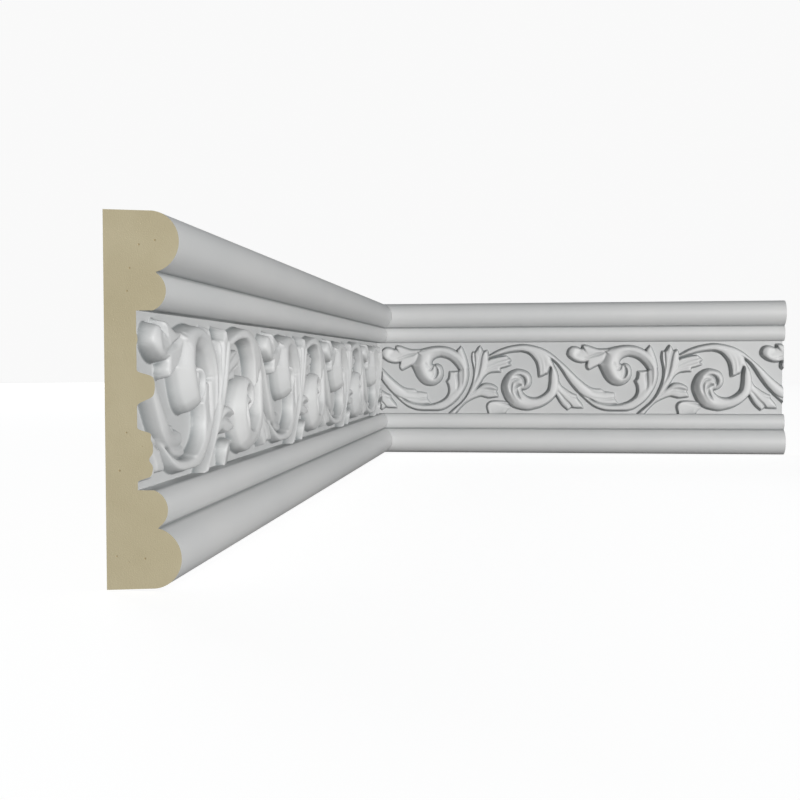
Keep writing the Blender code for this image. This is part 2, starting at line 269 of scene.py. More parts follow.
        (359.9, 86.4), (358.7, 91.2), (356.4, 95.8), (356.4, 95.8), (359.2, 99.2), (360.3, 103.4),
        (361, 108.8), (361, 108.8), (370.6, 109.2), (370.6, 109.2), (374, 110.4), (374, 110.4),
        (381, 108), (379, 92), (371, 78), (360, 67.6), (348, 61.5)),
        {"reach": (6, 5), "rise": 9.2, "share": 0.84, "wall": (3.4, 1.2), "fillet": 1.5}),
    "scrollTip": ("leaf", (
        (371.2, 136.6), (371.2, 136.6), (373.8, 139.2), (377.6, 143.4), (377.6, 143.4),
        (380.6, 138), (383.4, 131), (386, 123), (388.2, 112), (388.2, 112), (382, 112), (376, 124)),
        {"reach": (5, 5), "rise": 8.8, "share": 0.7, "tilt": (378, 130, 0, -0.1),
         "wall": (1.4, 1.3), "fillet": 1.2}),
    "upperBand": ("band", (
        (287.5, 78.4, 0.9, 4), (295, 73.2, 2.2, 6), (301, 68.6, 2.9, 7), (309, 64.2, 3.8, 7.8),
        (320, 61.2, 4.4, 8.4), (334, 60.6, 4.4, 8.8), (350, 62.4, 5.6, 9.4), (361, 68.8, 6.2, 9.8),
        (370.6, 78, 6.2, 10), (378.4, 90, 6, 10), (380.8, 101, 7, 10), (380.6, 111.6, 7, 9.4),
        (377, 121.6, 6.6, 8), (370, 129.4, 6, 6.5), (362, 134, 5.4, 5)),
        {"bulge": 0.6, "share": 0.62, "wall": (2.4, 1.5), "fillet": 1.5}),
    "upperCoil": ("leaf", (
        (310.6, 117.6), (310.6, 117.6), (314, 121.4), (316, 126.6), (316.6, 132), (316.6, 137.2),
        (316.6, 137.2), (322.6, 138.2), (328.6, 139.6), (335.5, 141.2), (343, 142.2),
        (352.4, 142.2), (360.4, 140.8), (368.2, 137.6), (375.4, 132.8), (382, 125.6),
        (386.6, 114.6), (387.4, 102), (384.4, 91), (378.6, 81), (378.6, 81), (376.4, 90),
        (374.8, 99), (374.4, 110.4), (374.4, 110.4), (372, 114), (367.6, 119.4), (362, 124.2),
        (356, 126.7), (350.4, 127.8), (345.4, 126.9), (341.4, 124.8), (339.2, 122), (338.6, 118.4),
        (338.6, 118.4), (341.6, 117.9), (341.6, 117.9), (345.4, 119), (349.6, 117.4), (352.4, 114),
        (353.9, 108), (353.2, 101.6), (350.2, 96), (344.4, 91.6), (337.4, 89.7), (330.4, 90.7),
        (323.6, 94.7), (318.3, 101.2), (314.5, 109)),
        {"reach": (13, 4), "rise": 11.4, "share": 0.2, "wall": (2.2, 1.2), "fillet": 1.5}),
    "coilRidge": ("swell", (
        (345.2, 137, 6, 0.2), (334.2, 133, 8, 0.8), (327.2, 122, 10, 2), (327.6, 112, 10.5, 2.8),
        (331.6, 103.6, 9.4, 2.8), (337.6, 97.6, 6.8, 2.4), (344.8, 98.8, 5.2, 1.8),
        (349, 105.6, 4.2, 2), (348.4, 112, 3.6, 2), (344.8, 116, 2.6, 1.6),
        (342, 116.6, 2, 0.8)), {}),
    "crescent": ("crease", (
        (342.4, 116, 1.4, 1), (344.8, 113.4, 1.8, 2.6), (346.1, 109.6, 2.2, 4.8),
        (345.7, 105, 2.2, 4.8), (343.8, 101.2, 2, 3.2), (340.6, 98.4, 1.6, 0.6)), {}),
    "hookA": ("crease", (
        (344.2, 118.6, 1.2, 1.2), (341, 117.4, 1.8, 4.2), (339.6, 114.4, 1.8, 3.8),
        (338, 111.2, 1.8, 2.8), (334, 110, 1.4, 0.4)), {}),
    "dimple": ("crease", (
        (329.8, 121, 1.8, 0.2), (331.8, 117.8, 2.6, 1.2), (334.4, 114.8, 2.2, 0.5)), {}),
    "leafFlute": ("crease", (
        (373.6, 110.4, 1.8, 3), (372.6, 105, 2.8, 3.4), (372.8, 98, 3, 2.8), (373.2, 90, 2.6, 1.6),
        (371.6, 82, 1.8, 0)), {}),
    "bandNotch": ("crease", (
        (374.6, 110.4, 1.4, 2.4), (378.6, 110.8, 1.2, 0.4)), {}),
    "curledLeaf": ("leaf", (
        (289.2, 143.4), (289.2, 143.4), (296, 143.2), (303.2, 140.6), (312.2, 138.2), (325, 138.6),
        (325, 138.6), (323, 131), (319.6, 124), (315.6, 119.6), (312.2, 117), (312.2, 117),
        (305, 113.2), (299, 110.4), (295.6, 112), (295.6, 112), (294.6, 116), (295.6, 120.2),
        (295.6, 120.2), (288, 119.8), (281, 121.4), (275, 124.8), (270.9, 129), (270.4, 134),
        (272.6, 138.6), (277, 141.2), (283, 140.8), (288.4, 138.6), (288.4, 138.6)),
        {"reach": (3.8, 5), "rise": 9.2, "share": 0.5, "wall": (1.5, 1.2)}),
    "curlLobe": ("swell", (
        (280, 136.4, 6, 1), (278, 130.8, 6.4, 1.9), (281.6, 126.4, 6, 1.7),
        (289, 125, 5, 0.8)), {}),
    "curlNotch": ("crease", (
        (288.7, 143.4, 2, 5.4), (290, 139.4, 2.2, 4.6), (292.6, 136, 1.8, 2),
        (295.4, 133.6, 1.2, 0.2)), {}),
    "curlRib": ("crease", (
        (287, 124, 1.8, 0.3), (297, 126.4, 2.4, 1.3), (304, 129, 2.8, 2.2), (312, 131.2, 3, 2.6),
        (318, 133.8, 2.2, 1.7), (324, 136.8, 2, 1.8)), {}),
    "curlFoot": ("crease", (
        (295.4, 120.8, 1.8, 3), (297.8, 123, 1.4, 0.6)), {}),
    "curlDish": ("crease", (
        (283, 136, 3, 0.3), (288, 134, 3.6, 0.7), (296, 131.4, 3, 0.4)), {}),
}


# Points of a Catmull-Rom curve through the knots, about one every pathSpacing. Every number of a
# knot is carried along, so widths and rises change smoothly too.
def smoothRun(knots):
    k = np.asarray(knots, float)
    ends = np.vstack([2 * k[0] - k[1], k, 2 * k[-1] - k[-2]])
    rows = []
    for a, b, c, d in zip(ends, ends[1:], ends[2:], ends[3:]):
        steps = max(2, int(np.hypot(*(c - b)[:2]) / carving["pathSpacing"]))
        t = (np.arange(steps) / steps)[:, None]
        rows.append(0.5 * (2 * b + (c - a) * t + (2 * a - 5 * b + 4 * c - d) * t**2
                           + (3 * b - a - 3 * c + d) * t**3))
    return np.vstack(rows + [k[-1:]])


# A closed outline through the knots, smooth but for the knots that are given twice in a row.
def outlinePath(knots):
    runs, run = [], [knots[0]]
    for knot in list(knots[1:]) + [knots[0]]:
        if knot == run[-1]:
            if len(run) > 1:
                runs.append(run)
            run = [knot]
        else:
            run.append(knot)
    if len(run) > 1:
        runs.append(run)
    points = np.vstack([smoothRun(run)[:-1] for run in runs])
    return np.vstack([points, points[:1]])


# For each place: distance to the nearest piece of the path, how far along the path that is, in
# points, and how far to the right of the path and above it the place lies, as shares of that
# distance.
def nearest(s, z, path):
    best = np.full(s.shape, np.inf)
    place, rightwards, upwards = (np.zeros(s.shape) for _ in range(3))
    for index, (a, b) in enumerate(zip(path[:-1], path[1:])):
        ds, dz = b[0] - a[0], b[1] - a[1]
        fromS, fromZ = s - a[0], z - a[1]
        t = np.clip((fromS * ds + fromZ * dz) / max(ds * ds + dz * dz, tiny**2), 0, 1)
        square = (fromS - t * ds) ** 2 + (fromZ - t * dz) ** 2
        near = square < best
        best = np.where(near, square, best)
        place = np.where(near, index + t, place)
        rightwards = np.where(near, fromS - t * ds, rightwards)
        upwards = np.where(near, fromZ - t * dz, upwards)
    distance = np.sqrt(best)
    apart = np.maximum(distance, tiny)
    return distance, place, rightwards / apart, upwards / apart


# Value of one column of the path at each place along it.
def along(path, place, column):
    return np.interp(place, np.arange(len(path)), path[:, column])


# From 0 to 1 with flat ends.
def ease(x):
    x = np.clip(x, 0, 1)
    return x * x * (3 - 2 * x)


# Rises as a quarter of an ellipse: upright where it leaves 0 and level where it reaches 1.
def shoulder(x):
    return np.sqrt(1 - (1 - np.clip(x, 0, 1)) ** 2)


# Between a pair of widths: the first where a side looks left, most of the way to it where it looks
# down, and the second elsewhere.
def sideWidth(pair, leftwards, downwards):
    towards = ease(np.maximum(leftwards, carving["undersides"] * downwards))
    return pair[1] + (pair[0] - pair[1]) * towards


# A stem or scroll: walls that take their share of the rise within their width of the edge, and a
# dome across for the rest. Knots hold along, up, half width, rise.
def bandRise(s, z, knots, wall, share, bulge):
    path = smoothRun(knots)
    distance, place, rightwards, upwards = nearest(s, z, path)
    half = np.maximum(along(path, place, 2), carving["narrowest"])
    width = np.minimum(sideWidth(wall, -rightwards, -upwards), carving["widestWall"] * half)
    across = np.clip(distance / half, 0, 1)
    height = share * ease((half - distance) / width) + (1 - share) * (1 - across**2) ** bulge
    return np.where(distance < half, along(path, place, 3) * height, 0.0)


# A leaf: walls that take their share of the rise within their width of the outline, and a round
# shoulder as wide as reach for the rest. tilt leans the whole leaf: middle along, middle up, and
# rise per mm each way.
def leafRise(s, z, knots, rise, wall, share, reach, tilt=(0, 0, 0, 0)):
    path = outlinePath(knots)
    distance, _, rightwards, upwards = nearest(s, z, path)
    distance = np.where(insideOutline(s, z, path), distance, 0)
    height = (share * ease(distance / sideWidth(wall, rightwards, upwards))
              + (1 - share) * shoulder(distance / sideWidth(reach, rightwards, upwards)))
    return (rise + tilt[2] * (s - tilt[0]) + tilt[3] * (z - tilt[1])) * height


# True where a line from the place out to the right crosses the outline an odd number of times.
def insideOutline(s, z, path):
    odd = np.zeros(s.shape, bool)
    for a, b in zip(path[:-1], path[1:]):
        if a[1] != b[1]:
            crosses = (z > min(a[1], b[1])) & (z <= max(a[1], b[1]))
            odd ^= crosses & (a[0] + (z - a[1]) * (b[0] - a[0]) / (b[1] - a[1]) > s)
    return odd


# A soft ridge along a path, for swellings and, taken away, for creases. Knots hold along, up,
# half width, height.
def softRidge(s, z, knots):
    path = smoothRun(knots)
    distance, place = nearest(s, z, path)[:2]
    half = np.maximum(along(path, place, 2), carving["narrowest"])
    return along(path, place, 3) * (1 - np.clip(distance / half, 0, 1) ** 2) ** 2


# The higher of two reliefs, with a fillet of the given size where both are carved and meet at the
# same height.
def blendHighest(a, b, fillet):
    t = np.clip(0.5 + 0.5 * (a - b) / fillet, 0, 1)
    bothCarved = np.minimum(a, b) > carving["bareGround"]
    return b * (1 - t) + a * t + np.where(bothCarved, fillet * t * (1 - t), 0)


# One repeat of the carving as heights above the sunk frieze: rows go up, columns go along. The
# forms are laid down in order, each moved by whole repeats to wherever it touches the table.
def carvedTable():
    repeat = carving["repeat"]
    sAll = np.arange(carving["columns"]) * repeat / carving["columns"]
    zAll = friezeHeights()
    table = np.zeros((len(zAll), len(sAll)))
    for kind, knots, options in carvedForms.values():
        options = dict(options)
        fillet = options.pop("fillet", carving["fillet"])
        points = np.asarray(knots, float)
        margin = carving["spill"] + (points[:, 2].max() if points.shape[1] > 2 else 0)
        left, foot = points[:, :2].min(0) - margin
        right, top = points[:, :2].max(0) + margin
        rows = (zAll > foot) & (zAll < top)
        for turn in range(math.floor(-right / repeat), math.ceil(1 - left / repeat)):
            shift = turn * repeat
            columns = (sAll > left + shift) & (sAll < right + shift)
            s, z = np.meshgrid(sAll[columns] - shift, zAll[rows])
            window = np.ix_(rows, columns)
            under = table[window]
            if kind == "band":
                table[window] = blendHighest(under, bandRise(s, z, knots, **options), fillet)
            elif kind == "leaf":
                table[window] = blendHighest(under, leafRise(s, z, knots, **options), fillet)
            elif kind == "swell":
                table[window] += softRidge(s, z, knots) * ease(under / carving["swellFoot"])
            elif kind == "crease":
                table[window] = np.maximum(under - softRidge(s, z, knots), 0)
    fromLedge = np.minimum(zAll - zAll[0], zAll[-1] - zAll)[:, None]
    return np.minimum(soften(table, carving["softness"]),
                      carving["ledgeRise"] + carving["ledgeSlope"] * fromLedge)


# How much painted shade each place of the table takes for lying in a hollow, 0 to 1: the share for
# lying low, and above the foot of the walls the share for the slope and the share for lying below
# the blurred table, whose ledges count as raised.
def hollowShadeTable(table):
    border = int(blurSpan * hollowShade["reach"] / columnStep)
    walled = np.pad(table, ((border, border), (0, 0)), constant_values=carving["ledgeRise"])
    below = soften(walled, hollowShade["reach"])[border:-border] - table
    sideways = (np.roll(table, -1, 1) - np.roll(table, 1, 1)) / (2 * columnStep)
    slope = np.hypot(sideways, np.gradient(table, columnStep, axis=0))
    low = 1 - np.clip(table / carving["ledgeRise"], 0, 1)
    walls = (hollowShade["steep"] * np.clip(slope / hollowShade["steepest"], 0, 1)
             + hollowShade["below"] * np.clip(below / hollowShade["depth"], 0, 1))
    return np.clip(hollowShade["low"] * low + walls * ease(table / hollowShade["foot"]), 0, 1)


# Gaussian blur of the table by the given softness, wrapping along and level at top and bottom.
def soften(table, softness):
    reach = math.ceil(blurSpan * softness / columnStep)
    shifts = range(-reach, reach + 1)
    weights = np.exp(-0.5 * (np.array(shifts) * columnStep / softness) ** 2)
    weights /= weights.sum()
    sideways = sum(w * np.roll(table, k, 1) for w, k in zip(weights, shifts))
    padded = np.pad(sideways, ((reach, reach), (0, 0)), mode="edge")
    return sum(w * padded[k:k + len(table)] for k, w in enumerate(weights))


# How far up the wall each row of the table lies.
def friezeHeights():
    edge = section["friezeEdge"]
    return np.linspace(edge, section["height"] - edge, carving["rows"])


# Angle at which the point is seen from the centre.
def bearing(centre, point):
    return math.atan2(point[1] - centre[1], point[0] - centre[0])


# Points of a round stretch between two angles, both ends included.
def arc(centre, radius, start, end, steps):
    turns = np.linspace(start, end, steps + 1)
    return [(centre[0] + radius * math.cos(a), centre[1] + radius * math.sin(a)) for a in turns]


# The plain lower half of the section, as (out from the wall, up), from the foot to the corner
# where the ledge above the small round starts.
def sectionHalf():
    large = arc(section["largeCentre"], section["largeRadius"], -math.pi / 2,
                bearing(section["largeCentre"], section["notch"]), section["largeSteps"])
    rise = math.asin((section["friezeEdge"] - section["smallCentre"][1]) / section["smallRadius"])
    small = arc(section["smallCentre"], section["smallRadius"],
                bearing(section["smallCentre"], section["notch"]), rise, section["smallSteps"])
    return [(0.0, 0.0)] + large + small[1:]


# The frieze of a whole run as a grid: x along, y = -(frieze depth + carving), z up.
def friezeGrid(length, table):
    start, end = length["phase"], length["phase"] + length["run"]
    first, last = start / columnStep, end / columnStep
    gap = carving["endGap"]
    inner = np.arange(math.ceil(first + gap), math.floor(last - gap) + 1)
    s = np.concatenate([[start], inner * columnStep, [end]])
    picked = np.concatenate([[round(first)], inner, [round(last)]]).astype(int)
    rise = table[:, picked % carving["columns"]]
    z = friezeHeights()
    x = np.broadcast_to(s - start, rise.shape)
    up = np.broadcast_to(z[:, None], rise.shape)
    points = np.stack([x, -(section["friezeDepth"] + rise), up], -1).reshape(-1, 3)
    rows, columns = rise.shape
    corner = (np.arange(rows - 1)[:, None] * columns + np.arange(columns - 1)).reshape(-1, 1)
    quads = corner + np.array([0, 1, columns + 1, columns])
    return points, quads


# A mesh from arrays of points and of faces with four corners each.
def quadMesh(name, points, quads):
    mesh = bpy.data.meshes.new(name)
    mesh.vertices.add(len(points))
    mesh.vertices.foreach_set("co", points.ravel())
    mesh.loops.add(quads.size)
    mesh.loops.foreach_set("vertex_index", quads.ravel())
    mesh.polygons.add(len(quads))
    mesh.polygons.foreach_set("loop_start", np.arange(len(quads)) * 4)
    mesh.update(calc_edges=True)
    return mesh


# The grid with its flat parts thinned until the given count of triangles is left.
def thinned(mesh, triangles):
    thing = bpy.data.objects.new("thinning", mesh)
    bpy.context.scene.collection.objects.link(thing)
    fewer = thing.modifiers.new("fewer", "DECIMATE")
    fewer.ratio = min(1.0, triangles / (2 * len(mesh.polygons)))
    bpy.context.view_layer.update()
    done = bpy.data.meshes.new_from_object(
        thing.evaluated_get(bpy.context.evaluated_depsgraph_get()))
    bpy.data.objects.remove(thing, do_unlink=True)
    bpy.data.meshes.remove(mesh)
    return done


# The four edges of the thinned frieze as chains of vertices, each put back exactly on its line.
def friezeEdges(shape, run):
    low, high = section["friezeEdge"], section["height"] - section["friezeEdge"]
    ring = [v for v in shape.verts if v.is_boundary]
    after = {}
    for edge in shape.edges:
        if edge.is_boundary:
            for a, b in (edge.verts, reversed(edge.verts)):
                after.setdefault(a, []).append(b)
    corners = [min(ring, key=lambda v: (v.co.x - x) ** 2 + (v.co.z - z) ** 2)
               for x, z in ((0, low), (run, low), (run, high), (0, high))]
    chains = []
    for index, corner in enumerate(corners):
        goal = corners[(index + 1) % 4]
        for way in after[corner]:
            chain = [corner, way]
            while chain[-1] not in corners:
                step = after[chain[-1]]
                chain.append(step[0] if step[1] is chain[-2] else step[1])
            if chain[-1] is goal:
                chains.append(chain)
                break
    foot, end, top, start = chains
    for chain, axis, value in ((foot, 2, low), (end, 0, run), (top, 2, high), (start, 0, 0.0)):
        for vertex in chain:
            vertex.co[axis] = value
    return foot, end, top, start


# The closed solid of a whole run in millimetres: the carved frieze, the plain rounds carried
# straight along, the ledges, the flat back and both ends.
def runSolid(length, table):
    name, run = length["name"], length["run"]
    carved = thinned(quadMesh(name, *friezeGrid(length, table)), length["triangles"])
    shape = bmesh.new()
    shape.from_mesh(carved)
    bpy.data.meshes.remove(carved)
    bmesh.ops.triangulate(shape, faces=shape.faces)
    plain = shape.faces.layers.int.new("plain")
    foot, end, top, start = friezeEdges(shape, run)
    half = sectionHalf()
    rows = {}
    for which, x in (("start", 0.0), ("end", run)):
        rows[which, "lower"] = [shape.verts.new((x, -out, up)) for out, up in half]
        rows[which, "upper"] = [shape.verts.new((x, -out, section["height"] - up))
                                for out, up in half]
    made = []
    for part in ("lower", "upper"):
        a, b = rows["start", part], rows["end", part]
        made += [shape.faces.new((a[k], a[k + 1], b[k + 1], b[k])) for k in range(len(a) - 1)]
    made.append(shape.faces.new(foot + [rows["end", "lower"][-1], rows["start", "lower"][-1]]))
    made.append(shape.faces.new(top + [rows["start", "upper"][-1], rows["end", "upper"][-1]]))
    back = shape.faces.new([rows["start", "lower"][0], rows["end", "lower"][0],
                            rows["end", "upper"][0], rows["start", "upper"][0]])
    caps = [shape.faces.new(rows["start", "lower"] + start[::-1] + rows["start", "upper"][::-1]),
            shape.faces.new(rows["end", "lower"] + end + rows["end", "upper"][::-1])]
    for face in made + [back] + caps:
        face[plain] = 1
    for face in [back] + caps:
        face.material_index = 1
    return shape, plain


# Cuts the mitre at 45 degrees, half the gap back from the corner, and closes the cut.
def cutMitre(shape, plain, length):
    halfGap = mitreGap / 2 * math.sqrt(2)
    snap = 1e-5  # vertices this near the cut count as on it
    atStart = length["mitre"] == "start"
    across = Vector((1, 1, 0)) if atStart else Vector((1, -1, 0))
    place = Vector((halfGap if atStart else length["run"] - halfGap, 0, 0))
    everything = shape.verts[:] + shape.edges[:] + shape.faces[:]
    cut = bmesh.ops.bisect_plane(shape, geom=everything, dist=snap, plane_co=place,
                                 plane_no=across, clear_inner=atStart, clear_outer=not atStart)
    rim = [e for e in cut["geom_cut"] if isinstance(e, bmesh.types.BMEdge) and e.is_valid]
    filled = bmesh.ops.triangle_fill(shape, edges=rim, use_beauty=True,
                                     normal=-across if atStart else across)
    for face in filled["geom"]:
        if isinstance(face, bmesh.types.BMFace):
            face[plain] = 1


# Smooth everywhere but where a plain face meets another face at more than sharpAngle degrees.
def shadeEdges(shape, plain):
    for face in shape.faces:
        face.smooth = True
    for edge in shape.edges:
        if any(face[plain] for face in edge.link_faces):
            edge.smooth = edge.calc_face_angle(0) < math.radians(sharpAngle)


# Value of the table at each place along a run and up it, between its four nearest entries.
def readTable(table, length, x, z):
    heights = friezeHeights()
    column = (x + length["phase"]) / carving["repeat"] * carving["columns"]
    lastRow = len(heights) - 1.001  # just short of it, so that there is a row above
    row = np.clip((z - heights[0]) / (heights[1] - heights[0]), 0, lastRow)
    c, r = np.floor(column).astype(int), np.floor(row).astype(int)
    partC, partR = column - c, row - r
    c, after = c % carving["columns"], (c + 1) % carving["columns"]
    return ((table[r, c] * (1 - partC) + table[r, after] * partC) * (1 - partR)
            + (table[r + 1, c] * (1 - partC) + table[r + 1, after] * partC) * partR)


# Writes on each vertex of a length how much painted shade it takes for lying in a hollow. On the
# frieze it is read off the table of hollow shade and fades out in front of the carving. Off the
# frieze only the seams have any, as painted shade along the notch and the ledge's corner.
def paintHollowShade(mesh, table, hollowShades, length):
    points = np.empty(3 * len(mesh.vertices))
    mesh.vertices.foreach_get("co", points)
    x, y, z = points.reshape(-1, 3).T
    inFront = -y - section["friezeDepth"] - readTable(table, length, x, z)
    slack = 0.01  # takes in the vertices on the frieze's own edges
    behind = 1.0  # how far thinning may leave the surface behind the table
    edge = section["friezeEdge"] - slack
    onFrieze = (z > edge) & (z < section["height"] - edge) & (inFront > -behind)
    fading = np.clip(1 - inFront / hollowShade["fade"], 0, 1)
    value = readTable(hollowShades, length, x, z) * fading * onFrieze
    up = np.minimum(z, section["height"] - z)
    # painted shade along the notch and along the ledge's corner of the plain section
    seams = ((section["notch"], hollowShade["notch"]), (sectionHalf()[-1], hollowShade["ledge"]))
    for (seamOut, seamUp), (share, width) in seams:
        away = np.hypot(-y - seamOut, up - seamUp)
        value = np.maximum(value, share * np.clip(1 - away / width, 0, 1))
    mesh.attributes.new("hollowShade", "FLOAT", "POINT").data.foreach_set("value", value)


# One length as a finished object, set on its wall by the matrix.
def railLength(length, table, hollowShades, matrix, materials):
    shape, plain = runSolid(length, table)
    cutMitre(shape, plain, length)
    bmesh.ops.triangulate(shape, faces=shape.faces, ngon_method="BEAUTY")
    bmesh.ops.recalc_face_normals(shape, faces=shape.faces)
    shadeEdges(shape, plain)
    openEdges = sum(not edge.is_manifold for edge in shape.edges)
    mesh = bpy.data.meshes.new(length["name"])
    shape.to_mesh(mesh)
    shape.free()
    mesh.attributes.remove(mesh.attributes["plain"])
    paintHollowShade(mesh, table, hollowShades, length)
    mesh.transform(matrix)
    for material in materials:
        mesh.materials.append(material)
    thing = bpy.data.objects.new(length["name"], mesh)
    bpy.context.scene.collection.objects.link(thing)
    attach(thing, "root")
    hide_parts(length["node"])
    print(length["name"], "triangles", len(mesh.polygons), "open edges", openEdges)


# A new node of the kind: values name its own settings or its input sockets.
def addNode(tree, kind, place, **values):
    node = tree.nodes.new(kind)
    node.location = place
    for key, value in values.items():
        if hasattr(node, key):
            setattr(node, key, value)
        else:
            node.inputs[key].default_value = value
    return node


# A new material with its tree of nodes and its shader.
def newMaterial(name):
    material = bpy.data.materials.new(name)
    material.use_nodes = True
    tree = material.node_tree
    return material, tree, tree.nodes["Principled BSDF"]


# The sockets of a Mix node set to colours go by number, because their names occur more than once.
mixShare, mixFrom, mixTo, mixResult = 0, 6, 7, 2


# A grain shared by both finishes: Tone is a slow mottling, Grain a fine one, both 0 to 1 and
# both worked out on the object's own coordinates.
def grainGroup():
    tree = bpy.data.node_groups.new("surfaceGrain", "ShaderNodeTree")
    for name, way in (("Tone Scale", "INPUT"), ("Grain Scale", "INPUT"),
                      ("Tone", "OUTPUT"), ("Grain", "OUTPUT")):
        tree.interface.new_socket(name, in_out=way, socket_type="NodeSocketFloat")
    entry = addNode(tree, "NodeGroupInput", (-600, 0))
    place = addNode(tree, "ShaderNodeTexCoord", (-600, -200))
    tone = addNode(tree, "ShaderNodeTexNoise", (-300, 150), Detail=5.0, Roughness=0.55)
    grain = addNode(tree, "ShaderNodeTexNoise", (-300, -150), Detail=3.0, Roughness=0.6)
    leave = addNode(tree, "NodeGroupOutput", (0, 0))
    link = tree.links.new
    for noise, scale, result in ((tone, "Tone Scale", "Tone"), (grain, "Grain Scale", "Grain")):
        link(place.outputs["Object"], noise.inputs["Vector"])
        link(entry.outputs[scale], noise.inputs["Scale"])
        link(noise.outputs["Fac"], leave.inputs[result])
    return tree


# The shared grain placed in a material, with the scales of its mottling and of its fine grain.
def grainIn(tree, group, scales):
    node = addNode(tree, "ShaderNodeGroup", (-900, 0), node_tree=group)
    for socket, scale in zip(("Tone Scale", "Grain Scale"), scales):
        node.inputs[socket].default_value = scale
    return node


# A colour ramp from the first colour at the first position to the second at the second.
def ramp(tree, place, positions, colours):
    node = addNode(tree, "ShaderNodeValToRGB", place)
    for stop, position, colour in zip(node.color_ramp.elements, positions, colours):
        stop.position = position
        stop.color = colour
    return node


# What a user would change of the primer: its colours, its roughness, the scales of its mottling
# and grain, where on the mottling the shade turns into the colour, and its orange peel in metres.
primer = {
    "colour": (0.588, 0.594, 0.594, 1.0),
    "shade": (0.562, 0.572, 0.575, 1.0),
    # the darker colour of the painted shade in hollows
    "hollowShade": (0.19, 0.206, 0.21, 1.0),
    "roughness": (0.46, 0.6),
    "scales": (9.0, 900.0),
    "blend": (0.35, 0.62),
    "peelStrength": 0.18,
    "peelHeight": 0.0001,
}


# Sprayed primer: a cool grey-white, faintly mottled, satin, with a very fine orange peel, and with
# painted shade that darkens it where the surface lies in a hollow.
def primerCoat(group):
    material, tree, shader = newMaterial("primer_coat")
    link = tree.links.new
    grain = grainIn(tree, group, primer["scales"])
    tint = ramp(tree, (-600, 200), primer["blend"], (primer["shade"], primer["colour"]))
    rough = addNode(tree, "ShaderNodeMapRange", (-600, -50))
    rough.inputs["To Min"].default_value = primer["roughness"][0]
    rough.inputs["To Max"].default_value = primer["roughness"][1]
    peel = addNode(tree, "ShaderNodeBump", (-300, -250), Strength=primer["peelStrength"],
                   Distance=primer["peelHeight"])
    # painted shade: the darkening written on the vertices for hollows mixes the primer towards its
    # darker colour
    depth = addNode(tree, "ShaderNodeAttribute", (-600, 450), attribute_name="hollowShade")
    paintedShade = addNode(tree, "ShaderNodeMix", (-300, 300), data_type="RGBA")
    paintedShade.inputs[mixTo].default_value = primer["hollowShade"]
    link(grain.outputs["Tone"], tint.inputs["Fac"])
    link(grain.outputs["Tone"], rough.inputs["Value"])
    link(grain.outputs["Grain"], peel.inputs["Height"])
    link(depth.outputs["Fac"], paintedShade.inputs[mixShare])
    link(tint.outputs["Color"], paintedShade.inputs[mixFrom])
    link(paintedShade.outputs[mixResult], shader.inputs["Base Color"])
    link(rough.outputs["Result"], shader.inputs["Roughness"])
    link(peel.outputs["Normal"], shader.inputs["Normal"])
    return material


# What a user would change of the bare foam: the same as of the primer, and the pores, which are
# open up to the first share of a cell and gone at the second.
foam = {
    "colour": (0.47, 0.42, 0.285, 1.0),
    "shade": (0.43, 0.38, 0.25, 1.0),
    "pore": (0.36, 0.29, 0.165, 1.0),
    "roughness": 0.9,
    "specular": 0.2,
    "scales": (30.0, 1500.0),
    "blend": (0.3, 0.7),
    "poreScale": 110.0,
    "poreEdge": (0.045, 0.075),
    "grainStrength": 0.5,
    "grainHeight": 0.0003,
}


# Sawn foam: tan, dull, with a close grain and sparse open pores.
def cutFoam(group):
    material, tree, shader = newMaterial("cut_foam")
    link = tree.links.new
    shader.inputs["Roughness"].default_value = foam["roughness"]
    shader.inputs["Specular IOR Level"].default_value = foam["specular"]
    grain = grainIn(tree, group, foam["scales"])
    tint = ramp(tree, (-600, 200), foam["blend"], (foam["shade"], foam["colour"]))
    place = addNode(tree, "ShaderNodeTexCoord", (-1200, -300))
    cells = addNode(tree, "ShaderNodeTexVoronoi", (-900, -300), Scale=foam["poreScale"])
    pores = ramp(tree, (-600, -300), foam["poreEdge"], ((1, 1, 1, 1), (0, 0, 0, 1)))
    mix = addNode(tree, "ShaderNodeMix", (-250, 150), data_type="RGBA")
    mix.inputs[mixTo].default_value = foam["pore"]
    height = addNode(tree, "ShaderNodeMath", (-400, -200), operation="SUBTRACT")
    bump = addNode(tree, "ShaderNodeBump", (-200, -250), Strength=foam["grainStrength"],
                   Distance=foam["grainHeight"])
    link(place.outputs["Object"], cells.inputs["Vector"])
    link(cells.outputs["Distance"], pores.inputs["Fac"])
    link(grain.outputs["Tone"], tint.inputs["Fac"])
    link(pores.outputs["Color"], mix.inputs[mixShare])
    link(tint.outputs["Color"], mix.inputs[mixFrom])
    link(mix.outputs[mixResult], shader.inputs["Base Color"])
    link(grain.outputs["Grain"], height.inputs[0])
    link(pores.outputs["Color"], height.inputs[1])
    link(height.outputs["Value"], bump.inputs["Height"])
    link(bump.outputs["Normal"], shader.inputs["Normal"])
    return material


# What a user would change of the floor: half its width in metres, its grey, and how strongly it
# glows towards the camera.
paper = {"reach": 6.0, "grey": 0.25, "glow": 0.9}


# Matt pale paper under the rail. It glows towards the camera alone, so that it looks pale in low
# light and yet throws little light up at the rail.
def stagePaper():
    material, tree, shader = newMaterial("stage_paper")
    shader.inputs["Base Color"].default_value = (paper["grey"],) * 3 + (1.0,)
    shader.inputs["Roughness"].default_value = 1.0
    shader.inputs["Specular IOR Level"].default_value = 0.0
    shader.inputs["Emission Color"].default_value = (1.0, 1.0, 1.0, 1.0)
    rays = addNode(tree, "ShaderNodeLightPath", (-500, 0))
    glow = addNode(tree, "ShaderNodeMath", (-250, 0), operation="MULTIPLY")
    glow.inputs[1].default_value = paper["glow"]
    tree.links.new(rays.outputs["Is Camera Ray"], glow.inputs[0])
    tree.links.new(glow.outputs["Value"], shader.inputs["Emission Strength"])
    return material


